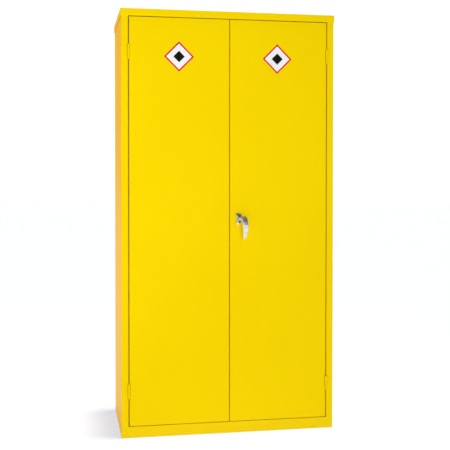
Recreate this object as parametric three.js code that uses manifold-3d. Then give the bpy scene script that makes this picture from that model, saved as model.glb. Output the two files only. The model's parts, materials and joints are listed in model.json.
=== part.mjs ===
// Flammable storage cabinet: a free-standing, two-door steel cupboard with an overhanging top cap,
// a spill sump in its base, three lift-off tray shelves on clips, lift-proof knuckle hinges
// and a swan-neck lever that works two locking rods inside the right door.
// Millimetres, +Z up, front facing -Y. The origin is the centre of the bounding box's underside.
import * as THREE from "three";
import { mergeVertices } from "three/addons/utils/BufferGeometryUtils.js";
import Module from "manifold-3d";

const wasm = await Module();
wasm.setup();

// ---- Driving dimensions ----
const capWidth = 915;
const overallHeight = 1780;
const overallDepth = 460; // fascia face to cap rear
const capOverhang = 3;
const capProud = 1.3; // how far the fascia stands in front of the doors
const sheet = 1; // steel thickness of every folded panel
const bendRadius = 1.5; // at the middle of the sheet
const joinGap = 0.3; // between pieces that are welded or rest face to face
const fasciaHeight = 30;
const sillHeight = 47;
const stileWidth = 28.5;
const doorGap = 3; // over the doors and between them
const hingeGap = 3.8; // beside each door, at its hinges
const footGap = 2.2;
const doorThickness = 20;
const rebateDepth = 24.5; // from the door face to the middle of the door stop
const stopWidth = 15.5;
const sumpDepth = 60;
const leverReach = 35; // from the door face to the front of the lever

// ---- Places worked out from them; the door faces lie at y = 0 in every sub-assembly ----
const halfCap = capWidth / 2;
const halfBody = halfCap - capOverhang;
const rearY = overallDepth - capProud - sheet - joinGap; // outside of the back panel
const frontY = (leverReach - (overallDepth - capProud)) / 2;
const stileEdge = halfBody - stileWidth;
const doorEdge = stileEdge - hingeGap;
const doorFoot = sillHeight + footGap;
const fasciaFoot = overallHeight - fasciaHeight;
const doorHead = fasciaFoot - doorGap;
const doorWidth = doorEdge - doorGap / 2;
const doorMiddle = doorGap / 2 + doorWidth / 2;
const wallTop = overallHeight - 3;

// ---- Hinges ----
const hingeX = stileEdge - hingeGap / 2;
const hingeY = -1.5;
const hingeInset = 145; // from the door's head or foot to the hinge's middle
const hingeLevels = { upper: doorHead - hingeInset, lower: doorFoot + hingeInset };
const knuckleRadius = 5.2;
const notchRadius = 6.4;
const pinRadius = 2.5;
const pinBore = 2.8;
const doorKnuckle = 25; // length of the short, domed knuckle on the door
const frameKnuckle = 37; // length of the long knuckle on the stile
const knuckleSplit = 0.6;
const hingeLength = doorKnuckle + knuckleSplit + frameKnuckle;

// ---- Lock ----
const spindleX = 40;
const spindleZ = 909;
const spindleRadius = 4.5;
const hubRadius = 10;
const plugRadius = 6.3;
const throwRadius = 14.1; // of the cam's drive pins, so a quarter turn draws each rod in 19.94 mm
const drivePinRadius = 3;
const rodWidth = 12;
const rodFace = 14; // how far behind the door face the rods run
const rodThickness = 2.5;
const rodOffset = 12; // from the spindle to the middle of each rod

// ---- Shelves ----
const postDepth = 24; // along Y
const postStandoff = 12; // of the slotted web from the side wall
const postFoot = sumpDepth + 4;
const postHead = fasciaFoot - 12;
const postWeb = halfBody - sheet - joinGap - postStandoff;
const postYs = { front: 44, rear: rearY - 44 };
const slotPitch = 50;
const slotFirst = 129;
const slotSize = [16, 6];
const clipWidth = 14;
const clipDrop = 9; // from a slot's middle down to the clip's seat
const shelfSlots = [7, 15, 23]; // the slot that each shelf hangs from, counted from the foot
const shelfLip = 25;
const shelfHalf = postWeb - 2.2;
const shelfFront = 29;
const shelfRear = rearY - 6;

// ---- Labels ----
const labelSide = 90;
const labelHeight = 1586.5;
const labelX = { left: -214.5, right: 205.2 };

// ---- Materials ----
const paint = new THREE.MeshStandardMaterial({ color: 0xf8d400, roughness: 0.42, metalness: 0 });
const chrome = new THREE.MeshStandardMaterial({ color: 0xd9dadc, roughness: 0.12, metalness: 1 });
const zinc = new THREE.MeshStandardMaterial({ color: 0xb4b8bb, roughness: 0.38, metalness: 1 });
const rubber = new THREE.MeshStandardMaterial({ color: 0x1b1b1c, roughness: 0.85, metalness: 0 });
const vinyl = new THREE.MeshStandardMaterial({ color: 0xf4f4f2, roughness: 0.5, metalness: 0 });

// ---- Solids and geometry ----
// A closed geometry as a solid that can be joined and cut.
function solid(geometry) {
  const bare = geometry.index ? geometry.toNonIndexed() : geometry.clone();
  bare.deleteAttribute("normal");
  bare.deleteAttribute("uv");
  const merged = mergeVertices(bare, 1e-4);
  const corners = merged.index.array;
  const kept = [];
  for (let i = 0; i < corners.length; i += 3) {
    const [a, b, c] = corners.slice(i, i + 3);
    if (a !== b && b !== c && c !== a) kept.push(a, b, c);
  }
  return new wasm.Manifold(
    new wasm.Mesh({
      numProp: 3,
      vertProperties: merged.attributes.position.array,
      triVerts: new Uint32Array(kept),
    }),
  );
}

function geometryOf(body) {
  const { vertProperties, triVerts, numProp } = body.getMesh();
  const places = new Float32Array((vertProperties.length / numProp) * 3);
  for (let i = 0; i < places.length / 3; i++) {
    places.set(vertProperties.subarray(i * numProp, i * numProp + 3), i * 3);
  }
  const geometry = new THREE.BufferGeometry();
  geometry.setAttribute("position", new THREE.BufferAttribute(places, 3));
  geometry.setIndex(new THREE.BufferAttribute(new Uint32Array(triVerts), 1));
  geometry.computeVertexNormals();
  return geometry;
}

function block([x0, x1], [y0, y1], [z0, z1]) {
  const box = new THREE.BoxGeometry(x1 - x0, y1 - y0, z1 - z0);
  return solid(box.translate((x0 + x1) / 2, (y0 + y1) / 2, (z0 + z1) / 2));
}

// A cylinder standing up along Z from z0 to z1.
function post(radius, [x, y], [z0, z1], sides = 24) {
  const round = new THREE.CylinderGeometry(radius, radius, z1 - z0, sides);
  return solid(round.rotateX(Math.PI / 2).translate(x, y, (z0 + z1) / 2));
}

// A cylinder lying along Y from y0 to y1.
function barrel(radius, [x, z], [y0, y1], sides = 24) {
  const round = new THREE.CylinderGeometry(radius, radius, y1 - y0, sides);
  return solid(round.translate(x, (y0 + y1) / 2, z));
}

function extruded(outline, length) {
  return new THREE.ExtrudeGeometry(new THREE.Shape(outline), {
    depth: length,
    bevelEnabled: false,
    curveSegments: 12,
  });
}

// An outline in (x, y), extruded up.
function alongZ(outline, [z0, z1]) {
  return solid(extruded(outline, z1 - z0).translate(0, 0, z0));
}

// An outline in (x, z), extruded from front to back.
function alongY(outline, [y0, y1]) {
  return solid(extruded(outline, y1 - y0).rotateX(Math.PI / 2).translate(0, y1, 0));
}

// An outline in (y, z), extruded from left to right.
function alongX(outline, [x0, x1]) {
  const turn = new THREE.Matrix4().set(0, 0, 1, x0, 1, 0, 0, 0, 0, 1, 0, 0, 0, 0, 0, 1);
  return solid(extruded(outline, x1 - x0).applyMatrix4(turn));
}

// The outline of a sheet folded at right angles along these corners of its middle line.
function folded(corners, thickness = sheet) {
  const points = corners.map(([x, y]) => new THREE.Vector2(x, y));
  const line = [];
  points.forEach((here, i) => {
    const back = points[i - 1]?.clone().sub(here).normalize();
    const ahead = points[i + 1]?.clone().sub(here).normalize();
    if (!back || !ahead) {
      line.push({ at: here, along: ahead ?? back.clone().negate() });
      return;
    }
    const centre = here.clone().addScaledVector(back, bendRadius).addScaledVector(ahead, bendRadius);
    for (const turn of [0, 30, 60, 90].map(THREE.MathUtils.degToRad)) {
      line.push({
        at: centre
          .clone()
          .addScaledVector(ahead, -bendRadius * Math.cos(turn))
          .addScaledVector(back, -bendRadius * Math.sin(turn)),
        along: ahead.clone().multiplyScalar(Math.sin(turn)).addScaledVector(back, -Math.cos(turn)),
      });
    }
  });
  const offset = (by) => ({ at, along }) => new THREE.Vector2(at.x - along.y * by, at.y + along.x * by);
  return [...line.map(offset(thickness / 2)), ...line.map(offset(-thickness / 2)).reverse()];
}

// A flat-bottomed pan of folded sheet, open towards the side that its mouth names.
function pan([x0, x1], [y0, y1], [z0, z1], mouth) {
  const inner = { x: [x0 + sheet, x1 - sheet], y: [y0 + sheet, y1 - sheet], z: [z0 + sheet, z1 - sheet] };
  if (mouth === "up") inner.z[1] = z1 + 1;
  if (mouth === "down") inner.z[0] = z0 - 1;
  return block([x0, x1], [y0, y1], [z0, z1]).subtract(block(inner.x, inner.y, inner.z));
}

function piece(name, body, material, place = [0, 0, 0]) {
  const mesh = new THREE.Mesh(body.isBufferGeometry ? body : geometryOf(body), material);
  mesh.name = name;
  mesh.position.set(...place);
  return mesh;
}

const mirrored = (corners, side) => corners.map(([x, y]) => [x * side, y]);
const ordered = (a, b) => [Math.min(a, b), Math.max(a, b)];
const sides = { left: -1, right: 1 };

// ---- Carcass ----
// A side panel folded round into the front stile and the door stop, with a toe that shuts the stile's foot.
function sideWall(side) {
  const middle = sheet / 2;
  const profile = mirrored(
    [
      [halfBody - 18, rearY - sheet - joinGap - middle],
      [halfBody - middle, rearY - sheet - joinGap - middle],
      [halfBody - middle, middle],
      [stileEdge + middle, middle],
      [stileEdge + middle, rebateDepth],
      [stileEdge - stopWidth + middle, rebateDepth],
    ],
    side,
  );
  const stop = ordered((stileEdge - stopWidth - 2) * side, (stileEdge - 0.05) * side);
  const coping = [rebateDepth - 4, rebateDepth + 2];
  const toe = ordered((stileEdge + 0.5) * side, (halfBody - 0.5) * side);
  let wall = alongZ(folded(profile), [0, wallTop])
    .add(block(toe, [0.5, rebateDepth + 1], [0, sheet]))
    .subtract(block(stop, coping, [-1, sillHeight + 15.5]))
    .subtract(block(stop, coping, [fasciaFoot - 15.5, wallTop + 1]));
  for (const level of Object.values(hingeLevels)) wall = wall.subtract(hingeNotch(side, level));
  return wall;
}

function hingeNotch(side, level) {
  const half = hingeLength / 2 + 1;
  return post(notchRadius, [hingeX * side, hingeY], [level - half, level + half], 32);
}

function backPanel() {
  return block([-halfBody, halfBody], [rearY - sheet, rearY], [0, wallTop]);
}

function topCap() {
  return pan([-halfCap, halfCap], [-capProud, overallDepth - capProud], [fasciaFoot, overallHeight], "down");
}

// The rebate above the doors, welded behind the fascia between the stiles.
function headRail() {
  const profile = [
    [1, overallHeight - 5],
    [1, fasciaFoot + sheet / 2],
    [rebateDepth, fasciaFoot + sheet / 2],
    [rebateDepth, fasciaFoot - 14],
  ];
  return alongX(folded(profile), [-stileEdge + joinGap, stileEdge - joinGap]);
}

function sill() {
  const profile = [
    [rebateDepth - 4, sheet / 2],
    [sheet / 2, sheet / 2],
    [sheet / 2, sillHeight - sheet / 2],
    [rebateDepth, sillHeight - sheet / 2],
    [rebateDepth, sillHeight + 14],
  ];
  return alongX(folded(profile), [-stileEdge + joinGap, stileEdge - joinGap]);
}

// The cabinet's floor: a deep welded tray that holds what is spilt.
function sumpTray() {
  const half = halfBody - sheet - 0.7;
  return pan([-half, half], [rebateDepth + 1.5, rearY - 3.5], [0, sumpDepth], "up");
}

const slotHeights = [];
for (let z = slotFirst; z < postHead - 60; z += slotPitch) slotHeights.push(z);

// A slotted channel on the side wall, round its own middle in Y.
function shelfPost(side) {
  const wall = halfBody - sheet - joinGap;
  const half = postDepth / 2 - sheet / 2;
  const profile = mirrored(
    [
      [wall, -half],
      [postWeb + sheet / 2, -half],
      [postWeb + sheet / 2, half],
      [wall, half],
    ],
    side,
  );
  const [wide, high] = slotSize;
  const web = ordered(side * (postWeb - 1), side * (postWeb + 4));
  const slot = (z) => block(web, [-wide / 2, wide / 2], [z - high / 2, z + high / 2]);
  return slotHeights.reduce(
    (channel, z) => channel.subtract(slot(z)),
    alongZ(folded(profile), [postFoot, postHead]),
  );
}

// A shelf clip round its own slot: a seat under the shelf, a back plate and a hook through the slot.
function shelfClip(side) {
  const plate = postWeb - joinGap;
  const thick = 1.5;
  const hookTop = 1.2;
  const outline = [
    [plate - 17, -clipDrop],
    [plate - thick, -clipDrop],
    [plate - thick, 8],
    [plate, 8],
    [plate, hookTop],
    [postWeb + sheet + 2, hookTop],
    [postWeb + sheet + 2, -7],
    [postWeb + sheet + 0.6, -7],
    [postWeb + sheet + 0.6, hookTop - thick],
    [plate, hookTop - thick],
    [plate, -clipDrop - thick],
    [plate - 17, -clipDrop - thick],
  ].map(([x, z]) => new THREE.Vector2(x * side, z));
  return alongY(outline, [-clipWidth / 2, clipWidth / 2]);
}

function shelfTray() {
  return pan([-shelfHalf, shelfHalf], [shelfFront, shelfRear], [0, shelfLip], "up");
}

function buffer() {
  return barrel(6, [0, 0], [doorThickness + joinGap, rebateDepth - sheet / 2 - joinGap], 20);
}

// ---- Doors ----
// A folded pan 20 mm deep whose returns end in an inner flange all round.
function doorPan(side) {
  const flange = 18;
  const near = doorGap / 2;
  const span = (inset) => ordered((near + inset) * side, (doorEdge - inset) * side);
  const rise = (inset) => [doorFoot + inset, doorHead - inset];
  let door = block(span(0), [0, doorThickness], rise(0))
    .subtract(block(span(sheet), [sheet, doorThickness - sheet], rise(sheet)))
    .subtract(block(span(flange), [doorThickness / 2, doorThickness + 1], rise(flange)));
  for (const level of Object.values(hingeLevels)) door = door.subtract(hingeNotch(side, level));
  return door;
}

function rightDoorPan() {
  const slot = [rodFace - 1, rodFace + rodThickness + 1];
  const wide = rodWidth / 2 + 1.5;
  const exit = (x, z) => block([x - wide, x + wide], slot, [z - 2, z + 2]);
  return doorPan(1)
    .subtract(barrel(7, [spindleX, spindleZ], [-1, sheet + 1]))
    .subtract(exit(spindleX - rodOffset, doorHead))
    .subtract(exit(spindleX + rodOffset, doorFoot));
}

// A hat-section stiffener down the inside of a door skin, round its own middle in X.
function stiffener() {
  const seat = sheet * 1.5 + joinGap;
  const crown = doorThickness - 2.5;
  const profile = [
    [-36, seat],
    [-21, seat],
    [-21, crown],
    [21, crown],
    [21, seat],
    [36, seat],
  ];
  return alongZ(folded(profile), [doorFoot + 40, doorHead - 40]);
}

// The strip behind the left door's meeting edge. It ends in the gap, short of the right door.
function meetingStrip() {
  const behind = doorThickness + joinGap;
  return block([-26, -0.3], [behind, behind + sheet], [doorFoot + 20, doorHead - 20]);
}

// ---- Hinges, round their own axis and their own middle in Z; the domed end points up ----
function knuckle(length, domed) {
  const plain = [
    [0, 0],
    [knuckleRadius, 0],
    [knuckleRadius, length],
    [0, length],
  ];
  const dome = [
    [0, 0],
    [knuckleRadius, 0],
    [knuckleRadius, length - 4],
    [knuckleRadius * 0.92, length - 2],
    [knuckleRadius * 0.64, length - 0.5],
    [0, length],
  ];
  const points = (domed ? dome : plain).map(([r, z]) => new THREE.Vector2(r, z));
  return solid(new THREE.LatheGeometry(points, 24).rotateX(Math.PI / 2));
}

function hingeLeaf(onDoor, side) {
  const half = hingeLength / 2;
  const doorSpan = [half - doorKnuckle, half];
  const frameSpan = [-half, -half + frameKnuckle];
  const [own, other] = onDoor ? [doorSpan, frameSpan] : [frameSpan, doorSpan];
  const inward = onDoor ? -side : side;
  const near = hingeGap / 2 + sheet + joinGap;
  const depth = (onDoor ? doorThickness - 3 : rebateDepth - 4) - hingeY;
  const plate = block(ordered(inward * near, inward * (near + 2)), [0, depth], [-half + 0.5, half - 0.5]);
  const clearance = post(knuckleRadius + 0.7, [0, 0], [other[0] - 1, other[1] + 1]);
  const bore = post(pinBore, [0, 0], [own[0] - 2, onDoor ? own[1] - 3.5 : own[1] + 2]);
  return plate
    .subtract(clearance)
    .add(knuckle(own[1] - own[0], onDoor).translate(0, 0, own[0]))
    .subtract(bore);
}

function hingePin() {
  const half = hingeLength / 2;
  return post(pinRadius, [0, 0], [-half, half - 4.5], 20);
}

// ---- Lock ----
// A fishtail escutcheon: two tips on the left with a hollow between them, and a round right side.
function escutcheon() {
  const outline = new THREE.Shape();
  outline.moveTo(-14, 21);
  outline.quadraticCurveTo(-11.5, 24, -4, 24);
  outline.quadraticCurveTo(8, 24, 13, 11);
  outline.quadraticCurveTo(16.5, 0, 13, -11);
  outline.quadraticCurveTo(8, -24, -4, -24);
  outline.quadraticCurveTo(-11.5, -24, -14, -21);
  outline.quadraticCurveTo(-2.5, 0, -14, 21);
  return alongY(outline.getPoints(6), [-9, -joinGap]).subtract(barrel(6, [0, 0], [-10, 1], 20));
}

// Rings of the lever's grip: height, middle in X, half width, half thickness; a ring of no width is a tip.
const gripRings = [
  [13, 18.8, 0, 0],
  [11, 18.9, 5.6, 3],
  [7, 19.6, 9.4, 4.8],
  [0, 20.6, 11.7, 5.8],
  [-12, 22, 12.3, 6],
  [-26, 23, 12.2, 6],
  [-41, 23.5, 11.6, 5.7],
  [-55, 23.1, 10.3, 5.1],
  [-68, 21.5, 8.5, 4.4],
  [-79, 19.2, 6.3, 3.5],
  [-85.5, 17.7, 4.2, 2.6],
  [-87.5, 17.2, 0, 0],
];

function leverGrip() {
  const around = 20;
  const standoff = leverReach - 6;
  const places = [];
  const corners = [];
  const ring = (level, k) => level * around + (k % around);
  gripRings.forEach(([z, x, wide, thick]) => {
    for (let k = 0; k < around; k++) {
      const turn = (2 * Math.PI * k) / around;
      places.push(x + wide * Math.cos(turn), -standoff + thick * Math.sin(turn), z);
    }
  });
  for (let level = 0; level < gripRings.length - 1; level++) {
    for (let k = 0; k < around; k++) {
      const [a, b] = [ring(level, k), ring(level, k + 1)];
      const [c, d] = [ring(level + 1, k), ring(level + 1, k + 1)];
      corners.push(a, c, b, b, c, d);
    }
  }
  const geometry = new THREE.BufferGeometry();
  geometry.setAttribute("position", new THREE.Float32BufferAttribute(places, 3));
  geometry.setIndex(corners);
  return solid(geometry);
}

// The lever round its spindle: a hub with a pocket for the lock plug, a short neck and the grip.
function lever() {
  const hubFront = -21;
  const hubRear = -9 - joinGap;
  const neckEnd = new THREE.Vector3(17, -(leverReach - 7.5), 0);
  const neckStart = new THREE.Vector3(2, -14.5, 0);
  const along = neckEnd.clone().sub(neckStart);
  const tilt = new THREE.Quaternion();
  tilt.setFromUnitVectors(new THREE.Vector3(0, 1, 0), along.clone().normalize());
  const neck = new THREE.CylinderGeometry(5.5, 6.5, along.length(), 20)
    .applyQuaternion(tilt)
    .translate(...neckStart.clone().add(neckEnd).multiplyScalar(0.5));
  return barrel(hubRadius, [0, 0], [hubFront, hubRear], 28)
    .add(solid(neck))
    .add(leverGrip())
    .subtract(barrel(plugRadius + 0.5, [0, 0], [hubFront - 30, -10.7], 28));
}

function lockPlug() {
  const face = -21.5;
  return barrel(plugRadius, [0, 0], [face, -11], 28)
    .subtract(block([-0.7, 0.7], [face - 1, face + 6], [-3.6, 3.6]));
}

// A disc on the spindle with two drive pins, one for each rod.
function camPlate() {
  const place = throwRadius * Math.SQRT1_2;
  return barrel(19, [0, 0], [6, 8.5], 32)
    .add(barrel(drivePinRadius, [-place, place], [8, 18.2], 20))
    .add(barrel(drivePinRadius, [place, -place], [8, 18.2], 20))
    .subtract(barrel(spindleRadius + joinGap, [0, 0], [5, 9]));
}

function spindleNut() {
  return barrel(8, [0, 0], [8.8, 12.8], 6).subtract(barrel(spindleRadius + joinGap, [0, 0], [8, 13]));
}

// A flat locking rod round the spindle, with a slotted yoke for its drive pin; way is 1 up, -1 down.
function lockingRod(way) {
  const middle = -rodOffset * way;
  const pinLevel = throwRadius * Math.SQRT1_2 * way;
  const span = (centre, half) => [centre - half, centre + half];
  const layer = [rodFace, rodFace + rodThickness];
  const end = (way > 0 ? doorHead : doorFoot) + 1.5 * way - spindleZ;
  const run = [Math.min(pinLevel, end), Math.max(pinLevel, end)];
  const slotHalf = (throwRadius * (1 - Math.SQRT1_2)) / 2 + drivePinRadius + 0.8;
  const bar = block(span(middle, rodWidth / 2), layer, run);
  const yoke = block(span(middle, slotHalf + 3.2), layer, span(pinLevel, 9));
  const slot = block(span(middle, slotHalf), [rodFace - 1, rodFace + rodThickness + 1],
    span(pinLevel, drivePinRadius + 0.8));
  return bar.add(yoke).subtract(slot);
}

// A strap over a rod, round the rod's middle in X.
function rodGuide() {
  const half = rodWidth / 2 + 2.5;
  const seat = sheet * 1.5 + joinGap;
  const profile = [
    [-half - 9, seat],
    [-half, seat],
    [-half, 18],
    [half, 18],
    [half, seat],
    [half + 9, seat],
  ];
  return alongZ(folded(profile, 1), [-14, 14]);
}

function label() {
  const face = new THREE.BoxGeometry(labelSide, 0.3, labelSide);
  return face.rotateY(Math.PI / 4);
}

// ---- Assembly ----
function assembly(name, ...meshes) {
  const group = new THREE.Group();
  group.name = name;
  group.position.set(0, frontY, 0);
  group.add(...meshes);
  return group;
}

const carcass = [
  piece("back_panel", backPanel(), paint),
  piece("top_cap", topCap(), paint),
  piece("head_rail", headRail(), paint),
  piece("sill", sill(), paint),
  piece("sump_tray", sumpTray(), paint),
];
const shelving = [];
for (const [hand, side] of Object.entries(sides)) {
  carcass.push(piece(`${hand}_side`, sideWall(side), paint));
  for (const [depth, y] of Object.entries(postYs)) {
    carcass.push(piece(`shelf_post_${hand}_${depth}`, shelfPost(side), paint, [0, y, 0]));
    shelfSlots.forEach((slot, i) => {
      const name = `shelf_clip_${i + 1}_${hand}_${depth}`;
      shelving.push(piece(name, shelfClip(side), zinc, [0, y, slotHeights[slot]]));
    });
  }
  for (const [level, z] of Object.entries({ upper: doorHead - 320, lower: doorFoot + 320 })) {
    carcass.push(piece(`door_buffer_${hand}_${level}`, buffer(), rubber, [side * (stileEdge - 8.5), 0, z]));
  }
}
shelfSlots.forEach((slot, i) => {
  const seat = slotHeights[slot] - clipDrop + joinGap;
  shelving.push(piece(`shelf_${i + 1}`, shelfTray(), paint, [0, 0, seat]));
});

// A hinge part in place: the lower hinges are turned over, so that the doors can't be lifted off.
function hingePart(name, body, material, side, level) {
  const geometry = geometryOf(level === "upper" ? body : body.mirror([0, 0, 1]));
  return piece(name, geometry, material, [side * hingeX, hingeY, hingeLevels[level]]);
}
const doors = { left: [], right: [] };
for (const [hand, side] of Object.entries(sides)) {
  for (const level of Object.keys(hingeLevels)) {
    const name = `hinge_${hand}_${level}`;
    carcass.push(hingePart(`${name}_frame_leaf`, hingeLeaf(false, side), paint, side, level));
    carcass.push(hingePart(`${name}_pin`, hingePin(), zinc, side, level));
    doors[hand].push(hingePart(`${name}_door_leaf`, hingeLeaf(true, side), paint, side, level));
  }
  const skin = side > 0 ? rightDoorPan() : doorPan(side);
  doors[hand].push(
    piece(`${hand}_door`, skin, paint),
    piece(`${hand}_door_stiffener`, stiffener(), paint, [side * doorMiddle, 0, 0]),
    piece(`${hand}_label`, label(), vinyl, [labelX[hand], -0.45, labelHeight]),
  );
}
doors.left.push(piece("meeting_strip", meetingStrip(), paint));

const atSpindle = [spindleX, 0, spindleZ];
const lock = [
  piece("escutcheon", escutcheon(), chrome, atSpindle),
  piece("lever", lever(), chrome, atSpindle),
  piece("lock_plug", lockPlug(), chrome, atSpindle),
  piece("spindle", barrel(spindleRadius, [0, 0], [-9, 13]), zinc, atSpindle),
  piece("cam_plate", camPlate(), zinc, atSpindle),
  piece("spindle_nut", spindleNut(), zinc, atSpindle),
  piece("upper_rod", lockingRod(1), zinc, atSpindle),
  piece("lower_rod", lockingRod(-1), zinc, atSpindle),
  piece("upper_rod_guide", rodGuide(), zinc, [spindleX - rodOffset, 0, doorHead - 90]),
  piece("lower_rod_guide", rodGuide(), zinc, [spindleX + rodOffset, 0, doorFoot + 90]),
];

const cabinet = new THREE.Group();
cabinet.name = "flammable_storage_cabinet";
cabinet.add(
  assembly("carcass", ...carcass),
  assembly("shelving", ...shelving),
  assembly("left_door_assembly", ...doors.left),
  assembly("right_door_assembly", ...doors.right),
  assembly("lock_set", ...lock),
);

export default cabinet;
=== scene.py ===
"""The looks of a yellow two-door steel cabinet for flammable liquids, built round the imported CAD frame."""
import json
import math
import random

import bmesh
import bpy
from mathutils import Matrix, Vector


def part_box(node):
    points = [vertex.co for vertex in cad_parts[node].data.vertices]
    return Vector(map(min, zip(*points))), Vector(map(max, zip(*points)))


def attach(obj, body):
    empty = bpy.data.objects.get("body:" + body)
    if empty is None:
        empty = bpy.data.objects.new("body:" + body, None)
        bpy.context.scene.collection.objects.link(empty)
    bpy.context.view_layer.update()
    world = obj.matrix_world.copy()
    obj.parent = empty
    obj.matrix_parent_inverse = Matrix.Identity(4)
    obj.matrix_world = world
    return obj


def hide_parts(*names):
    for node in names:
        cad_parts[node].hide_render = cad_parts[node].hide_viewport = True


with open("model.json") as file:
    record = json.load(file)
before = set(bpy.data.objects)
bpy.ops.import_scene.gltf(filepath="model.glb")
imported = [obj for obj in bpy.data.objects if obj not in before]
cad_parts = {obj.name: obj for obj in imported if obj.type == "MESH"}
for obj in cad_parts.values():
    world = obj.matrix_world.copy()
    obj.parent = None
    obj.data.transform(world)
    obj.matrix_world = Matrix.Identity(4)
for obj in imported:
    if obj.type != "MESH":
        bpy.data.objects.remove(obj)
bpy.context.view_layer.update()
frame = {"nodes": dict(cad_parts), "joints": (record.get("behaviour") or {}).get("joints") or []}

nodes = frame["nodes"]
scene = bpy.context.scene
MM = 0.001

# ---- Camera ----
SENSOR = 36.0  # millimetres, as the lens
LENS = 70.136
SHIFT_X, SHIFT_Y = -0.01378, -0.06222  # parts of the image's width
YAW, PITCH, ROLL = math.radians(10.729), math.radians(-1.207), math.radians(0.043)
CAMERA_PLACE = (-0.6823, -3.8485, 1.0790)


def make_camera():
    lens = bpy.data.cameras.new("camera")
    lens.sensor_width = SENSOR
    lens.lens = LENS
    lens.shift_x, lens.shift_y = SHIFT_X, SHIFT_Y
    lens.clip_end = 200
    forward = Vector((math.sin(YAW) * math.cos(PITCH), math.cos(YAW) * math.cos(PITCH), math.sin(PITCH)))
    right = Vector((math.cos(YAW), -math.sin(YAW), 0))
    up = right.cross(forward)
    across = right * math.cos(ROLL) + up * math.sin(ROLL)
    upward = up * math.cos(ROLL) - right * math.sin(ROLL)
    turn = Matrix((across, upward, -forward)).transposed()
    camera = bpy.data.objects.new("camera", lens)
    camera.matrix_world = Matrix.Translation(CAMERA_PLACE) @ turn.to_4x4()
    scene.collection.objects.link(camera)
    scene.camera = camera


# ---- Materials ----
class Shader:
    """One material's nodes round its Principled surface. Textures lie in the object's own metres."""

    def __init__(self, name, base, roughness, metallic=0.0, **sockets):
        self.material = bpy.data.materials.new(name)
        self.material.use_nodes = True
        self.tree = self.material.node_tree
        self.surface = self.tree.nodes["Principled BSDF"]
        self.place = self.add("TexCoord").outputs["Object"]
        self.set("Base Color", (*base, 1))
        self.set("Roughness", roughness)
        self.set("Metallic", metallic)
        for socket, value in sockets.items():
            self.set(socket.replace("_", " "), value)

    def put(self, socket, value):
        if isinstance(value, bpy.types.NodeSocket):
            self.tree.links.new(value, socket)
        else:
            socket.default_value = value

    def set(self, socket, value):
        self.put(self.surface.inputs[socket], value)

    def add(self, kind, inputs=None, **settings):
        node = self.tree.nodes.new("ShaderNode" + kind)
        for name, value in settings.items():
            setattr(node, name, value)
        for key, value in (inputs or {}).items():
            self.put(node.inputs[key], value)
        return node

    def stretch(self, x, y, z):
        return self.add("Mapping", {"Vector": self.place, "Scale": (x, y, z)}).outputs["Vector"]

    def noise(self, scale, detail=2.0, rough=0.5, vector=None):
        inputs = {"Vector": vector or self.place, "Scale": scale, "Detail": detail, "Roughness": rough}
        return self.add("TexNoise", inputs).outputs["Fac"]

    def cells(self, scale):
        """A random grey-to-colour for each cell of the given density."""
        return self.add("TexVoronoi", {"Vector": self.place, "Scale": scale}).outputs["Color"]

    def math(self, operation, a, b=0.0):
        return self.add("Math", {0: a, 1: b}, operation=operation).outputs[0]

    def band(self, value, low, high, out_low=0.0, out_high=1.0):
        """The value's stretch from low to high, spread over the given output range."""
        inputs = {"Value": value, "From Min": low, "From Max": high, "To Min": out_low, "To Max": out_high}
        return self.add("MapRange", inputs).outputs["Result"]

    def mix(self, factor, a, b):
        colours = [(*c, 1) if isinstance(c, tuple) else c for c in (a, b)]
        inputs = {0: factor, 6: colours[0], 7: colours[1]}
        return self.add("Mix", inputs, data_type="RGBA").outputs[2]

    def height(self):
        return self.add("SeparateXYZ", {0: self.place}).outputs["Z"]

    def near(self, point, inner, outer):
        """One within the inner distance of a point, falling to nothing at the outer one."""
        reach = self.add("VectorMath", {0: self.place, 1: point}, operation="DISTANCE").outputs["Value"]
        return self.band(reach, inner, outer, 1.0, 0.0)

    def bump(self, *layers):
        """Chained bumps, each a height, a strength and a depth in metres."""
        normal = None
        for height, strength, distance in layers:
            inputs = {"Height": height, "Strength": strength, "Distance": distance}
            if normal:
                inputs["Normal"] = normal
            normal = self.add("Bump", inputs).outputs["Normal"]
        self.set("Normal", normal)


HANDLE_PLACE = (0.045, -0.22, 0.89)  # where hands touch the paint


def powder_coat():
    """Semi-gloss paint with orange peel, dust at the foot and a handled patch round the lever."""
    s = Shader("powder_coat_yellow", (0.9, 0.64, 0.0006), 0.46, Specular_IOR_Level=0.16)
    s.set("Specular Tint", (1.0, 0.84, 0.06, 1))
    broad = s.noise(2.1, 3)
    mottle = s.noise(380, 2)
    tone = s.math("ADD", s.math("MULTIPLY", broad, 0.6), s.math("MULTIPLY", mottle, 0.4))
    paint = s.mix(s.band(tone, 0.3, 0.7), (0.885, 0.622, 0.0005), (0.925, 0.668, 0.0008))
    foot = s.band(s.height(), 0.0, 0.09, 0.07, 0.0)
    dusty = s.mix(s.math("MULTIPLY", foot, s.noise(38, 4, 0.65)), paint, (0.5, 0.38, 0.16))
    handled = s.math("MULTIPLY", s.near(HANDLE_PLACE, 0.03, 0.2), s.band(s.noise(26, 4, 0.6), 0.42, 0.62))
    s.set("Base Color", s.mix(s.math("MULTIPLY", handled, 0.05), dusty, (0.6, 0.42, 0.05)))
    sheen = s.band(tone, 0.3, 0.7, 0.44, 0.54)
    s.set("Roughness", s.math("SUBTRACT", sheen, s.math("MULTIPLY", handled, 0.09)))
    s.bump((s.noise(3.1, 1), 0.25, 0.003), (s.noise(560, 2, 0.55), 0.4, 0.0003))
    return s.material


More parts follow.
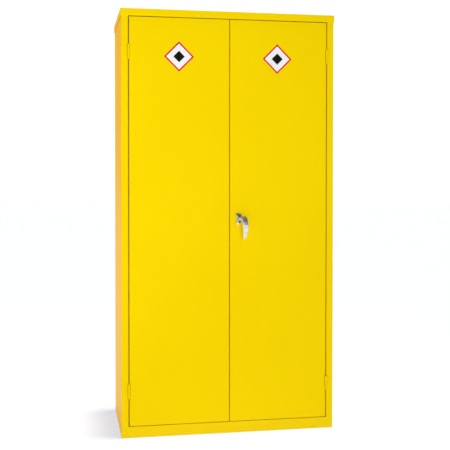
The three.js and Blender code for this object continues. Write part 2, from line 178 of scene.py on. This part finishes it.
def chrome():
    """Polished plate with finger smudges and fine upright scuffs."""
    s = Shader("chrome_bright", (0.7, 0.69, 0.67), 0.1, 1.0)
    smudge = s.noise(95, 4, 0.6)
    scuff = s.noise(1.0, 3, 0.6, s.stretch(900, 900, 60))
    s.set("Base Color", s.mix(s.band(smudge, 0.35, 0.7), (0.83, 0.81, 0.77), (0.7, 0.685, 0.65)))
    worn = s.math("MULTIPLY", s.band(scuff, 0.6, 0.75), 0.1)
    s.set("Roughness", s.math("ADD", s.band(smudge, 0.3, 0.75, 0.07, 0.2), worn))
    s.bump((s.noise(110, 2), 0.12, 0.0006), (scuff, 0.03, 0.00008))
    return s.material


def zinc(name="zinc_plate", tone=1.0):
    """Bright plate with a faint spangle and fine drawn lines; a low tone makes a darker copy of it, which
    serves as painted shade.
    """
    s = Shader(name, (0.62, 0.63, 0.64), 0.38, 1.0)
    spangle = s.cells(210)
    patch = s.noise(30, 4, 0.6)
    tints = ((0.55, 0.57, 0.6), (0.7, 0.69, 0.64), (0.6, 0.61, 0.62))
    cool, warm, even = (tuple(tone * c for c in rgb) for rgb in tints)
    grain = s.mix(0.35, s.mix(s.band(patch, 0.35, 0.65), cool, warm), spangle)
    s.set("Base Color", s.mix(0.82, grain, even))
    s.set("Roughness", s.band(s.noise(160, 3), 0.3, 0.7, 0.28, 0.5))
    s.bump((s.noise(1.0, 3, 0.6, s.stretch(1200, 1200, 90)), 0.1, 0.0001), (patch, 0.08, 0.0004))
    return s.material


def rubber():
    """Matt moulded rubber with a little bloom."""
    s = Shader("black_rubber", (0.02, 0.02, 0.021), 0.8, Specular_IOR_Level=0.35)
    bloom = s.noise(240, 4, 0.65)
    s.set("Base Color", s.mix(s.band(bloom, 0.45, 0.75), (0.016, 0.016, 0.017), (0.06, 0.058, 0.055)))
    s.set("Roughness", s.band(bloom, 0.3, 0.7, 0.68, 0.9))
    s.bump((s.noise(1500, 2), 0.35, 0.0002),)
    return s.material


def vinyl(name, light, dark, gloss=0.5):
    """Printed film: one ink, slightly uneven."""
    s = Shader(name, light, 0.42, Specular_IOR_Level=gloss)
    grain = s.noise(900, 3, 0.6)
    patch = s.noise(28, 3)
    tone = s.math("ADD", s.math("MULTIPLY", grain, 0.4), s.math("MULTIPLY", patch, 0.6))
    s.set("Base Color", s.mix(s.band(tone, 0.35, 0.68), light, dark))
    s.set("Roughness", s.band(grain, 0.3, 0.7, 0.36, 0.5))
    s.bump((grain, 0.12, 0.00012), (patch, 0.1, 0.0004))
    return s.material


MATERIALS = {
    "yellow_powder_coat": powder_coat(),
    "chrome_plate": chrome(),
    "zinc_plated_steel": zinc(),
    "black_rubber": rubber(),
    "label_vinyl": vinyl("label_white", (0.88, 0.88, 0.87), (0.83, 0.83, 0.81)),
}
PAINT, CHROME, ZINC = (MATERIALS[k] for k in ("yellow_powder_coat", "chrome_plate", "zinc_plated_steel"))
RED_PRINT = vinyl("label_red", (0.72, 0.012, 0.009), (0.64, 0.009, 0.007), 0.05)
BLACK_PRINT = vinyl("label_black", (0.003, 0.003, 0.003), (0.009, 0.009, 0.009), 0.05)
# A darker copy of the zinc: painted shade for the screw heads sunk in the rose's pockets.
POCKET_SHADE_ZINC = zinc("zinc_painted_pocket_shade", 0.32)


# ---- The carried-over sheet metal ----
WELD = 0.01 * MM
COPLANAR = math.radians(0.4)
SHEET_EDGE = 0.25 * MM
BEVELLED = math.radians(32)


def soften(obj):
    """Welds a CAD node's loose triangles, joins its flat faces and rounds its sharp edges a little."""
    obj.modifiers.new("weld", "WELD").merge_threshold = WELD
    flat = obj.modifiers.new("flat", "DECIMATE")
    flat.decimate_type = "DISSOLVE"
    flat.angle_limit = COPLANAR
    edge = obj.modifiers.new("edge", "BEVEL")
    edge.width = SHEET_EDGE
    edge.segments = 2
    edge.limit_method = "ANGLE"
    edge.angle_limit = BEVELLED
    obj.modifiers.new("tidy", "WELD").merge_threshold = WELD
    normals = obj.modifiers.new("normals", "WEIGHTED_NORMAL")
    normals.keep_sharp = False
    obj.data.polygons.foreach_set("use_smooth", [True] * len(obj.data.polygons))


for name, node in nodes.items():
    slot = node.data.materials[0].name.split(".")[0]
    node.data.materials[0] = MATERIALS[slot]
    soften(node)


# ---- Building pieces ----
# Shapes are made in millimetres round their own origin and put in place by a matrix.
FRONT_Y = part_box("left_door")[0].y
SHARP = math.radians(38)
SAME_PLACE = 0.004 * MM
joints = {joint["name"]: joint for joint in frame["joints"]}


def at(x, y, z):
    return Matrix.Translation((x, y, z)) @ Matrix.Scale(MM, 4)


def piece(name, bm, place, material, body, replaces=()):
    """A cleaned, smooth-shaded object that rides on a body and may stand for CAD nodes."""
    bm.transform(place)
    bmesh.ops.remove_doubles(bm, verts=bm.verts, dist=SAME_PLACE)
    bmesh.ops.dissolve_degenerate(bm, edges=bm.edges, dist=SAME_PLACE)
    bmesh.ops.recalc_face_normals(bm, faces=bm.faces)
    mesh = bpy.data.meshes.new(name)
    bm.to_mesh(mesh)
    bm.free()
    mesh.polygons.foreach_set("use_smooth", [True] * len(mesh.polygons))
    mesh.set_sharp_from_angle(angle=SHARP)
    mesh.materials.append(material)
    obj = bpy.data.objects.new(name, mesh)
    scene.collection.objects.link(obj)
    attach(obj, body)
    if replaces:
        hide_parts(*replaces)
    return obj


def weighted(obj):
    """Shades the flats flat and leaves only the bends round."""
    obj.modifiers.new("normals", "WEIGHTED_NORMAL").keep_sharp = True
    return obj


def strip(bm, lower, upper):
    """Faces between two closed rings of as many corners."""
    count = len(lower)
    for k in range(count):
        bm.faces.new((lower[k], lower[(k + 1) % count], upper[(k + 1) % count], upper[k]))


def loft(rings, ends=True):
    """A closed solid through rings of points; with no ends, the last ring joins the first."""
    bm = bmesh.new()
    levels = [[bm.verts.new(point) for point in ring] for ring in rings]
    for lower, upper in zip(levels, levels[1:]):
        strip(bm, lower, upper)
    if ends:
        bm.faces.new(levels[0])
        bm.faces.new(levels[-1])
    else:
        strip(bm, levels[-1], levels[0])
    return bm


def turned(profile, around=48, axis="Y"):
    """A solid of revolution from (radius, height) pairs, from one end of the axis to the other."""
    rings = []
    for radius, height in profile:
        ring = []
        for k in range(around):
            a = 2 * math.pi * k / around
            u, v = radius * math.cos(a), radius * math.sin(a)
            ring.append((u, height, v) if axis == "Y" else (u, v, height))
        rings.append(ring)
    bm = loft(rings)
    bmesh.ops.remove_doubles(bm, verts=bm.verts, dist=0.0001)
    return bm


def prism(outline, low, high, axis="Y"):
    """A flat outline drawn out along an axis."""
    def ring(level):
        return [(u, level, v) if axis == "Y" else (u, v, level) for u, v in outline]
    return loft([ring(low), ring(high)])


def merged(*parts):
    """One mesh of several solids."""
    whole = bmesh.new()
    for part in parts:
        mesh = bpy.data.meshes.new("part")
        part.to_mesh(mesh)
        part.free()
        whole.from_mesh(mesh)
        bpy.data.meshes.remove(mesh)
    return whole


def combined(base, other, operation):
    """A boolean of two solids, as a new bmesh."""
    objects = []
    for bm in (base, other):
        bmesh.ops.recalc_face_normals(bm, faces=bm.faces)
        mesh = bpy.data.meshes.new("operand")
        bm.to_mesh(mesh)
        bm.free()
        obj = bpy.data.objects.new("operand", mesh)
        scene.collection.objects.link(obj)
        objects.append(obj)
    change = objects[0].modifiers.new("boolean", "BOOLEAN")
    change.operation = operation
    change.object = objects[1]
    change.solver = "EXACT"
    result = bmesh.new()
    result.from_object(objects[0], bpy.context.evaluated_depsgraph_get())
    for obj in objects:
        mesh = obj.data
        bpy.data.objects.remove(obj)
        bpy.data.meshes.remove(mesh)
    bmesh.ops.remove_doubles(result, verts=result.verts, dist=0.0005)
    return result


def curve(points, steps=10):
    """Points along a chain of quadratic curves: start, then (control, end) pairs."""
    path = [Vector(points[0])]
    for control, end in zip(points[1::2], points[2::2]):
        start, control, end = path[-1], Vector(control), Vector(end)
        for k in range(1, steps + 1):
            t = k / steps
            path.append(start * (1 - t) ** 2 + control * 2 * t * (1 - t) + end * t * t)
    return path


def rounded(points):
    """A closed outline with its corners cut."""
    cut = []
    for k, here in enumerate(points):
        there = points[(k + 1) % len(points)]
        cut += [here.lerp(there, 0.25), here.lerp(there, 0.75)]
    return cut


# ---- Folded pans ----
FOLD = 1.2 * MM
CUT_EDGE = 0.22 * MM
NARROW = 2.5 * MM  # a cut edge's face is narrower than this, and a panel's is wider
FOLDED = math.radians(35)


def breadth(face):
    """A long face's width."""
    return 2 * face.calc_area() / face.calc_perimeter()


def folded_pan(name, node, body):
    """A CAD sheet with real bends: its outer folds are rounded, and its cut edges are eased."""
    bm = bmesh.new()
    bm.from_mesh(nodes[node].data)
    bmesh.ops.remove_doubles(bm, verts=bm.verts, dist=WELD)
    bmesh.ops.dissolve_limit(bm, angle_limit=COPLANAR, verts=bm.verts, edges=bm.edges)
    sharp = [e for e in bm.edges if len(e.link_faces) == 2 and e.calc_face_angle(0) > FOLDED]
    folds, cuts = [], []
    for edge in sharp:
        wide = all(breadth(face) > NARROW for face in edge.link_faces)
        if wide and edge.calc_face_angle_signed(0) > 0:
            folds.append(edge)
        elif not wide:
            cuts.append(edge)
    for edges, offset, segments in ((folds, FOLD, 4), (cuts, CUT_EDGE, 1)):
        edges = [e for e in edges if e.is_valid]
        bmesh.ops.bevel(bm, geom=edges, offset=offset, segments=segments, profile=0.5,
                        affect="EDGES", clamp_overlap=True)
    weighted(piece(name, bm, Matrix.Identity(4), PAINT, body, [node]))


# ---- Doors, cap, trays ----
for name, node, body in (
    ("left_door_skin", "left_door", "left_door"),
    ("right_door_skin", "right_door", "right_door"),
    ("top_cap_skin", "top_cap", "cabinet"),
    ("sump_tray_pan", "sump_tray", "cabinet"),
    ("shelf_1_tray", "shelf_1", "cabinet"),
    ("shelf_2_tray", "shelf_2", "cabinet"),
    ("shelf_3_tray", "shelf_3", "cabinet"),
):
    folded_pan(name, node, body)


# ---- Lever, rose and lock ----
spindle = Vector(joints["handle_turn"]["pos_m"])
AT_SPINDLE = at(spindle.x, FRONT_Y, spindle.z)

# The grip's rings: height, middle in X, middle in Y, half width, half thickness.
GRIP = [
    (12.6, 18.8, -25.5, 0.9, 0.6),
    (11.4, 18.9, -26.0, 4.6, 2.6),
    (8.0, 19.5, -26.6, 8.6, 4.2),
    (0.0, 20.6, -27.2, 11.5, 5.3),
    (-11.7, 22.0, -28.3, 12.2, 5.6),
    (-25.2, 23.0, -29.2, 12.2, 5.5),
    (-39.8, 23.5, -29.4, 11.5, 5.1),
    (-53.4, 23.1, -28.9, 10.2, 4.5),
    (-66.0, 21.5, -28.1, 8.4, 3.9),
    (-76.6, 19.3, -27.3, 6.3, 3.2),
    (-82.4, 17.8, -26.9, 4.4, 2.5),
    (-84.6, 17.2, -26.8, 1.6, 1.0),
]


def grip(around=40):
    """The lever's blade: a flattened oval all the way, fuller in front than behind."""
    rings = []
    for z, x, y, wide, thick in GRIP:
        ring = []
        for k in range(around):
            a = 2 * math.pi * k / around
            c, s = math.cos(a), math.sin(a)
            u = wide * math.copysign(abs(c) ** 0.7, c)
            v = thick * math.copysign(abs(s) ** 0.7, s) * (1.0 if s < 0 else 1.2)
            ring.append((x + u, y + v, z))
        rings.append(ring)
    return loft(rings)


CAST_GRAIN = 0.55 * MM
EASING = 8


def run_together(obj):
    """Makes one casting of a piece's several solids, with soft fillets where they meet."""
    fuse = obj.modifiers.new("fuse", "REMESH")
    fuse.mode = "VOXEL"
    fuse.voxel_size = CAST_GRAIN
    fuse.use_smooth_shade = True
    ease = obj.modifiers.new("ease", "SMOOTH")
    ease.factor = 0.5
    ease.iterations = EASING


# The pocket for the lock, and the hub round it as radius and depth, from its back to the pocket's floor.
POCKET, POCKET_FLOOR = 6.8, -11.2
HUB = [
    (0, -9.5), (8.2, -9.5), (8.6, -10.2), (8.6, -18.6), (8.1, -20.2), (7.5, -20.8), (6.9, -20.4),
    (POCKET, POCKET_FLOOR), (0, POCKET_FLOOR),
]


def neck(steps=14, around=28):
    """The arm from the hub out to the back of the grip, on one bend."""
    rings = []
    path = curve([(5.0, -13.5), (12.0, -14.0), (19.5, -26.5)], steps)
    for k, point in enumerate(path):
        t = k / steps
        along = (path[min(k + 1, steps)] - path[max(k - 1, 0)]).normalized()
        across = Vector((-along.y, along.x))
        deep, tall = 4.6 - 0.6 * t, 6.8 + 1.2 * t
        ring = []
        for j in range(around):
            a = 2 * math.pi * j / around
            offset = across * deep * math.cos(a)
            ring.append((point.x + offset.x, point.y + offset.y, tall * math.sin(a)))
        rings.append(ring)
    return loft(rings)


lock_pocket = turned([(0, -24), (POCKET, -24), (POCKET, POCKET_FLOOR), (0, POCKET_FLOOR)], 64)
arm = combined(neck(), lock_pocket, "DIFFERENCE")
lever = merged(turned(HUB, 64), arm, grip())
run_together(piece("lever_casting", lever, AT_SPINDLE, CHROME, "handle", ["lever"]))

# The rose's outline in X and Z, as a start and then a control and an end for each curve.
ROSE_EDGE = [
    (-14, 21), (-11.5, 24), (-4, 24), (8, 24), (13, 11), (16.5, 0), (13, -11),
    (8, -24), (-4, -24), (-11.5, -24), (-14, -21), (-2.5, 0), (-14, 21),
]
SCREW_X, SCREW_RISE = 0.8, 13.4  # from the spindle
SPINDLE_BORE = 6.3


def rose():
    """The fishtail plate under the lever: crowned, with rounded edges, a bore and two screw pockets."""
    edge = rounded(curve(ROSE_EDGE, 12)[:-1])
    bore = [point.normalized() * SPINDLE_BORE for point in edge]
    # How far in from the edge to the bore, and the depth there.
    profile = [
        (0.02, -0.35), (0.0, -0.6), (0.0, -4.6), (0.03, -5.6), (0.09, -6.4), (0.2, -7.0), (0.4, -7.6),
        (0.62, -8.0), (0.72, -8.4), (0.78, -8.75), (0.94, -8.8), (1.0, -8.5), (1.0, -0.35),
    ]
    rings = []
    for inward, depth in profile:
        places = [p.lerp(q, inward) for p, q in zip(edge, bore)]
        rings.append([(place.x, depth, place.y) for place in places])
    plate = loft(rings, ends=False)
    for z in (SCREW_RISE, -SCREW_RISE):
        pocket = turned([(0, -12), (5.2, -12), (5.2, -7.2), (3.4, -4.0), (0, -4.0)], 40)
        bmesh.ops.translate(pocket, verts=pocket.verts, vec=(SCREW_X, 0, z))
        plate = combined(plate, pocket, "DIFFERENCE")
    return plate


weighted(piece("escutcheon_rose", rose(), AT_SPINDLE, CHROME, "right_door", ["escutcheon"]))


def screw_head(radius, face, depth):
    """A countersunk head with a cross cut in it."""
    head = turned([
        (0, face + depth), (radius * 0.55, face + depth), (radius, face + 0.5),
        (radius * 0.96, face + 0.12), (radius * 0.7, face), (0, face),
    ], 36)
    reach, half_slot, tilt = radius * 0.6, 0.42, 0.5
    cross = [(-reach, -half_slot), (reach, -half_slot), (reach, half_slot), (-reach, half_slot)]
    for turn in (0, math.pi / 2):
        blade = prism(cross, face - 1, face + depth * 0.55)
        bmesh.ops.rotate(blade, verts=blade.verts, matrix=Matrix.Rotation(turn + tilt, 3, "Y"))
        head = combined(head, blade, "DIFFERENCE")
    return head


# The rose's screws take the darker zinc copy, painted shade for the pockets they sit in.
for name, z in (("rose_screw_upper", SCREW_RISE), ("rose_screw_lower", -SCREW_RISE)):
    place = AT_SPINDLE @ Matrix.Translation((SCREW_X, 0, z))
    weighted(piece(name, screw_head(3.2, -5.6, 1.7), place, POCKET_SHADE_ZINC, "right_door"))


def plug():
    """The lock's round face with its keyway, proud of the hub by half a millimetre."""
    barrel = turned([
        (0, -12.8), (5.2, -12.8), (6.1, -13.8), (6.15, -20.9), (6.0, -21.3), (5.6, -21.45), (4.9, -21.45),
        (4.7, -21.25), (4.3, -21.2), (0, -21.2),
    ], 64)
    keyway = [
        (-0.7, -3.6), (0.7, -3.6), (0.7, -0.9), (1.1, -0.6), (1.1, 0.4), (0.7, 0.7), (0.7, 3.6), (-0.7, 3.6),
    ]
    return combined(barrel, prism(keyway, -24, -13), "DIFFERENCE")


weighted(piece("lock_plug_face", plug(), AT_SPINDLE, CHROME, "lock_plug", ["lock_plug"]))


# ---- Hinges ----
KNUCKLE = 5.2  # radius
HALF_HINGE = 31.3
DOOR_KNUCKLE, FRAME_KNUCKLE = 25.0, 37.0  # their lengths along the pin
LEAF = 2.0  # thickness
CAP = 3.7


def curl(inward, depth, low, high, plate_low, plate_high):
    """A leaf rolled round the pin: its plate runs back beside the gap, and its end closes on itself."""
    middle, half = KNUCKLE - LEAF / 2, LEAF / 2
    steps, wrap = 40, math.radians(283)
    centre = [((middle, 7.0), (1, 0))]
    for k in range(steps + 1):
        a = -wrap * k / steps
        centre.append(((middle * math.cos(a), middle * math.sin(a)), (math.cos(a), math.sin(a))))
    outer = [(p[0] + n[0] * half, p[1] + n[1] * half) for p, n in centre]
    inner = [(p[0] - n[0] * half, p[1] - n[1] * half) for p, n in centre]
    outline = [(u * inward, v) for u, v in outer + inner[::-1]]
    roll = prism(outline, low, high, "Z")
    front, near, far = 6.4, inward * (KNUCKLE - LEAF), inward * KNUCKLE
    plate = prism([(near, front), (far, front), (far, depth), (near, depth)], plate_low, plate_high, "Z")
    return combined(roll, plate, "UNION")


def hinge_cap(low, high):
    """The domed head that shuts the door's knuckle."""
    side = KNUCKLE - 0.05
    rise = high - low
    return turned([
        (0, low), (2.6, low), (side * 0.97, low), (side, low + 0.25), (side, low + rise * 0.35),
        (side * 0.93, low + rise * 0.68), (side * 0.7, low + rise * 0.92), (side * 0.35, high - 0.02),
        (0, high),
    ], 48, "Z")


def hinge_pin(low, high):
    """A plain pin with its foot chamfered."""
    return turned([(0, low), (2.2, low), (2.55, low + 0.35), (2.55, high), (0, high)], 32, "Z")


def hinge(hand, side, level, up):
    """One hinge: the door's capped curl at its outer end, the frame's longer one, and their pin."""
    node = f"hinge_{hand}_{level}"
    low_corner, high_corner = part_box(node + "_pin")
    axis = (low_corner + high_corner) / 2
    frame_box, door_box = (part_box(node + end) for end in ("_frame_leaf", "_door_leaf"))
    base, top = min(frame_box[0].z, door_box[0].z), max(frame_box[1].z, door_box[1].z)
    place = at(axis.x, axis.y, (base + top) / 2)
    if up < 0:
        place = place @ Matrix.Diagonal((1, 1, -1, 1))
    foot, head = -HALF_HINGE, HALF_HINGE
    plates = foot + 0.5, head - 0.5
    door_depth, frame_depth = (door_box[1].y - axis.y) / MM, (frame_box[1].y - axis.y) / MM
    door_curl = curl(-side, door_depth, head - DOOR_KNUCKLE, head - CAP + 0.1, *plates)
    weighted(piece(node + "_door_curl", door_curl, place, PAINT, f"{hand}_door", [node + "_door_leaf"]))
    cap = piece(node + "_cap", hinge_cap(head - CAP, head), place, PAINT, f"{hand}_door")
    cap.modifiers.new("round", "SUBSURF").render_levels = 1
    frame_curl = curl(side, frame_depth, foot, foot + FRAME_KNUCKLE, *plates)
    weighted(piece(node + "_frame_curl", frame_curl, place, PAINT, "cabinet", [node + "_frame_leaf"]))
    pin = hinge_pin(foot, head - CAP - 0.7)
    weighted(piece(node + "_pin_rod", pin, place, ZINC, "cabinet", [node + "_pin"]))


HANDS = (("left", -1), ("right", 1))
for hand, side in HANDS:
    for level, up in (("upper", 1), ("lower", -1)):
        hinge(hand, side, level, up)


# ---- Labels ----
def diamond(half, corner):
    """A square stood on its corner, with small round corners."""
    tips = [Vector((half, 0)), Vector((0, half)), Vector((-half, 0)), Vector((0, -half))]
    outline = []
    for k, tip in enumerate(tips):
        before = tip.lerp(tips[k - 1], corner / half)
        after = tip.lerp(tips[(k + 1) % 4], corner / half)
        outline += curve([before, tip, after], 5)
    return outline


LABEL_CORNER = 1.6
LABEL_MARGIN = 0.3  # inside the CAD label's own tips
BORDER = 9.4  # along the diagonal
MARK = 24.0  # half the diagonal of the plain mark that stands for the print
FILM_BACK, FILM_FRONT, PRINT_BACK, PRINT_FRONT = -0.01, -0.26, -0.25, -0.34


def label(hand):
    """A generic diamond label: white film, a red border and one abstract mark."""
    name, body, slot = f"{hand}_label", f"{hand}_door", "label_vinyl"
    low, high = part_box(name)
    place = at((low.x + high.x) / 2, FRONT_Y, (low.z + high.z) / 2)
    half = (high.x - low.x) / 2 / MM - LABEL_MARGIN
    film = prism([tuple(p) for p in diamond(half, LABEL_CORNER)], FILM_FRONT, FILM_BACK)
    weighted(piece(name + "_base", film, place, MATERIALS[slot], body, [name]))
    outer = diamond(half - 0.25, LABEL_CORNER)
    inner = diamond(half - BORDER, LABEL_CORNER * 0.5)
    section = ((outer, PRINT_BACK), (outer, PRINT_FRONT), (inner, PRINT_FRONT), (inner, PRINT_BACK))
    border = loft([[(p.x, y, p.y) for p in ring] for ring, y in section], ends=False)
    weighted(piece(name + "_border", border, place, RED_PRINT, body))
    mark = prism([tuple(p) for p in diamond(MARK, LABEL_CORNER)], PRINT_FRONT, PRINT_BACK)
    weighted(piece(name + "_mark", mark, place, BLACK_PRINT, body))


label("left")
label("right")


# ---- Small fixings, laid on the CAD's own faces ----
def face_depth(node, x, z):
    """Where the CAD node's rearmost face lies at that place, in row-frame metres."""
    _, place, _, _ = nodes[node].ray_cast(Vector((x, 0.5, z)), Vector((0, -1, 0)))
    return place.y


STILE_EDGE = 426.0  # from the cabinet's middle
SILL_WELD = 0.3, 46.7  # its foot and head


def sill_weld(hand, side):
    """Paint-filled weld in the groove between a stile's fold and the sill that meets it."""
    section = [(-0.5, 0.04), (1.9, 0.03), (1.2, 0.35), (0.6, 1.0), (0.1, 2.2), (-0.5, 2.6)]
    outline = [((STILE_EDGE + out) * side, back) for out, back in section]
    bead = prism(outline, *SILL_WELD, "Z")
    piece(f"sill_weld_{hand}", bead, at(0, FRONT_Y, 0), PAINT, "cabinet")


for hand, side in HANDS:
    sill_weld(hand, side)

rng = random.Random(7)
SPOT = [(0, 0.25), (1.5, 0.22), (2.5, 0.08), (3.0, -0.25), (0, -0.25)]


def weld_spots(name, node, inset, rows, body):
    """Two columns of small pressed spot welds down a node's back, painted over."""
    low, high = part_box(node)
    spots = []
    for x in (low.x + inset * MM, high.x - inset * MM):
        for z in rows:
            y = face_depth(node, x, z)
            spot = turned(SPOT, 16)
            bmesh.ops.scale(spot, verts=spot.verts, vec=(MM, MM, MM))
            stray_x, stray_z = rng.uniform(-1, 1) * MM, rng.uniform(-2, 2) * MM
            bmesh.ops.translate(spot, verts=spot.verts, vec=(x + stray_x, y, z + stray_z))
            spots.append(spot)
    piece(name, merged(*spots), Matrix.Identity(4), PAINT, body)


DOOR_SPOTS, BACK_SPOTS = 14, 15
for hand in ("left", "right"):
    node = f"{hand}_door_stiffener"
    low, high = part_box(node)
    rows = [low.z + (high.z - low.z) * (k + 0.5) / DOOR_SPOTS for k in range(DOOR_SPOTS)]
    weld_spots(f"{hand}_door_weld_spots", node, 7, rows, f"{hand}_door")
weld_spots("back_weld_spots", "back_panel", 9, [0.06 + 0.115 * k for k in range(BACK_SPOTS)], "cabinet")

# Each guide's screws stand on its flat tab, which lies further forward than the bridge over the rod.
for guide in ("upper_rod_guide", "lower_rod_guide"):
    low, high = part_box(guide)
    middle = (low.z + high.z) / 2
    sides = (low.x + 4.5 * MM, high.x - 4.5 * MM)
    x = min(sides, key=lambda side: face_depth(guide, side, middle))
    for tag, rise in (("upper", 7 * MM), ("lower", -7 * MM)):
        z = middle + rise
        place = at(x, face_depth(guide, x, z), z) @ Matrix.Rotation(math.pi, 4, "Z")
        head = screw_head(3.1, -1.5, 1.6)
        weighted(piece(f"{guide}_screw_{tag}", head, place, ZINC, "right_door"))


# ---- Rubber buffers ----
for hand in ("left", "right"):
    for level in ("upper", "lower"):
        node = f"door_buffer_{hand}_{level}"
        low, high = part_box(node)
        wide = (high.x - low.x) / 2 / MM - 0.02
        thick = (high.y - low.y) / MM
        pad = turned([
            (0, 0), (wide * 0.55, 0.12), (wide * 0.8, 0.3), (wide * 0.93, 0.75), (wide, 1.5),
            (wide, thick - 0.3), (wide * 0.96, thick - 0.02), (0, thick - 0.02),
        ], 48)
        place = at((low.x + high.x) / 2, low.y, (low.z + high.z) / 2)
        piece(node + "_pad", pad, place, MATERIALS["black_rubber"], "cabinet", [node])


# ---- Studio ----
FLOOR_GLOW = 0.585
WORLD_GLOW = 0.07
BACKDROP = 1.1
BEHIND_GLOW = 0.38  # what gloss sees past the cabinet's back
# What gloss sees in front of the cabinet at each height: sine of the elevation, colour.
REFLECTED = [
    (0.0, (0.85, 0.85, 0.85)), (0.03, (0.7, 0.7, 0.7)), (0.09, (0.17, 0.18, 0.19)),
    (0.35, (0.25, 0.25, 0.24)), (0.6, (0.1, 0.11, 0.12)), (0.74, (0.3, 0.3, 0.3)), (1.0, (0.3, 0.3, 0.3)),
]


def make_floor():
    """A wide white floor, whose glow keeps the shadow on it pale and neutral."""
    bm = bmesh.new()
    bmesh.ops.create_circle(bm, cap_ends=True, cap_tris=False, segments=96, radius=40)
    mesh = bpy.data.meshes.new("studio_floor")
    bm.to_mesh(mesh)
    bm.free()
    floor = bpy.data.objects.new("studio_floor", mesh)
    floor.location.z = -0.0006
    scene.collection.objects.link(floor)
    s = Shader("studio_floor", (0.68, 0.56, 0.5), 0.75, Specular_IOR_Level=0.1)
    s.set("Base Color", s.mix(s.noise(0.9, 3), (0.675, 0.555, 0.495), (0.685, 0.565, 0.505)))
    s.set("Emission Color", (0.795, 1.0, 1.19, 1))
    s.set("Emission Strength", FLOOR_GLOW)
    mesh.materials.append(s.material)
    return floor


def aim(obj, place, target):
    """Puts a light at a place and turns it to its target."""
    direction = Vector(target) - Vector(place)
    obj.matrix_world = Matrix.Translation(place) @ direction.to_track_quat("-Z", "Y").to_matrix().to_4x4()
    scene.collection.objects.link(obj)


def area_light(name, place, target, size, power, colour=(1, 1, 1), glossy=True, casting=None):
    """A soft light that leaves the floor out, so that only the sun shapes the shadow there."""
    light = bpy.data.lights.new(name, "AREA")
    light.shape = "RECTANGLE"
    light.size, light.size_y = size
    light.energy = power
    light.color = colour
    obj = bpy.data.objects.new(name, light)
    obj.visible_camera = False
    obj.light_linking.receiver_collection = object_only
    obj.light_linking.blocker_collection = casting
    obj.visible_glossy = glossy
    aim(obj, place, target)


def sun_light(name, towards, strength, spread):
    """The light that casts the floor's shadow, kept out of the chrome."""
    light = bpy.data.lights.new(name, "SUN")
    light.energy = strength
    light.angle = math.radians(spread)
    obj = bpy.data.objects.new(name, light)
    obj.visible_glossy = False
    aim(obj, -Vector(towards), (0, 0, 0))


def make_world():
    """White behind the object, an even glow on matt faces, and a banded studio in reflections."""
    world = bpy.data.worlds.new("studio")
    world.use_nodes = True
    scene.world = world
    tree = world.node_tree

    def add(kind):
        return tree.nodes.new("ShaderNode" + kind)

    def mixed(factor, a, b, blend="MIX"):
        mix = add("Mix")
        mix.data_type = "RGBA"
        mix.blend_type = blend
        for socket, value in ((mix.inputs[0], factor), (mix.inputs[6], a), (mix.inputs[7], b)):
            if isinstance(value, bpy.types.NodeSocket):
                tree.links.new(value, socket)
            elif socket.type == "RGBA":
                socket.default_value = (value, value, value, 1)
            else:
                socket.default_value = value
        return mix.outputs[2]

    direction = add("TexCoord").outputs["Generated"]
    split = add("SeparateXYZ")
    tree.links.new(direction, split.inputs[0])
    ramp = add("ValToRGB")
    tree.links.new(split.outputs["Z"], ramp.inputs["Fac"])
    stops = ramp.color_ramp.elements
    for stop, (position, colour) in ((stops[0], REFLECTED[0]), (stops[1], REFLECTED[-1])):
        stop.position, stop.color = position, (*colour, 1)
    for position, colour in REFLECTED[1:-1]:
        stops.new(position).color = (*colour, 1)
    clutter = add("TexNoise")
    clutter.inputs["Scale"].default_value = 7.0
    clutter.inputs["Detail"].default_value = 3.0
    tree.links.new(direction, clutter.inputs["Vector"])
    behind = add("MapRange")
    tree.links.new(split.outputs["Y"], behind.inputs["Value"])
    path = add("LightPath")

    banded = mixed(0.8, ramp.outputs["Color"], clutter.outputs["Fac"], "OVERLAY")
    around = mixed(behind.outputs["Result"], banded, BEHIND_GLOW)
    lit = mixed(path.outputs["Is Glossy Ray"], WORLD_GLOW, around)
    seen = mixed(path.outputs["Is Camera Ray"], lit, BACKDROP)
    tree.links.new(seen, tree.nodes["Background"].inputs["Color"])


def all_but(name, obj):
    """A light-linking collection of everything except one object."""
    collection = bpy.data.collections.new(name)
    collection.objects.link(obj)
    collection.collection_objects[0].light_linking.link_state = "EXCLUDE"
    return collection


scene.view_settings.view_transform = "Standard"
make_camera()
object_only = all_but("lit_by_soft_lights", make_floor())
no_lever = all_but("shadow_without_lever", scene.objects["lever_casting"])
make_world()
sun_light("overhead", (-0.06, 0.012, -1), 2.25, 6)
area_light("key", (1.05, -4.85, 1.75), (0, -0.2, 0.95), (0.3, 0.3), 56, glossy=False)
area_light("soft_left", (-0.85, -1.9, 1.0), (-0.2, -0.2, 0.9), (0.9, 2.4), 14.8, glossy=False,
           casting=no_lever)
area_light("warm_side", (-2.6, 1.0, 1.3), (-0.46, 0, 1.0), (1.5, 2.4), 34.5, (1, 0.4, 0.13))
area_light("right_fill", (3.2, 0.9, 1.3), (0.46, 0.1, 0.9), (1.6, 2.2), 29, glossy=False)
area_light("rear_fill", (0.7, 3.6, 1.5), (0, 0.25, 0.9), (1.8, 2.2), 37, glossy=False)
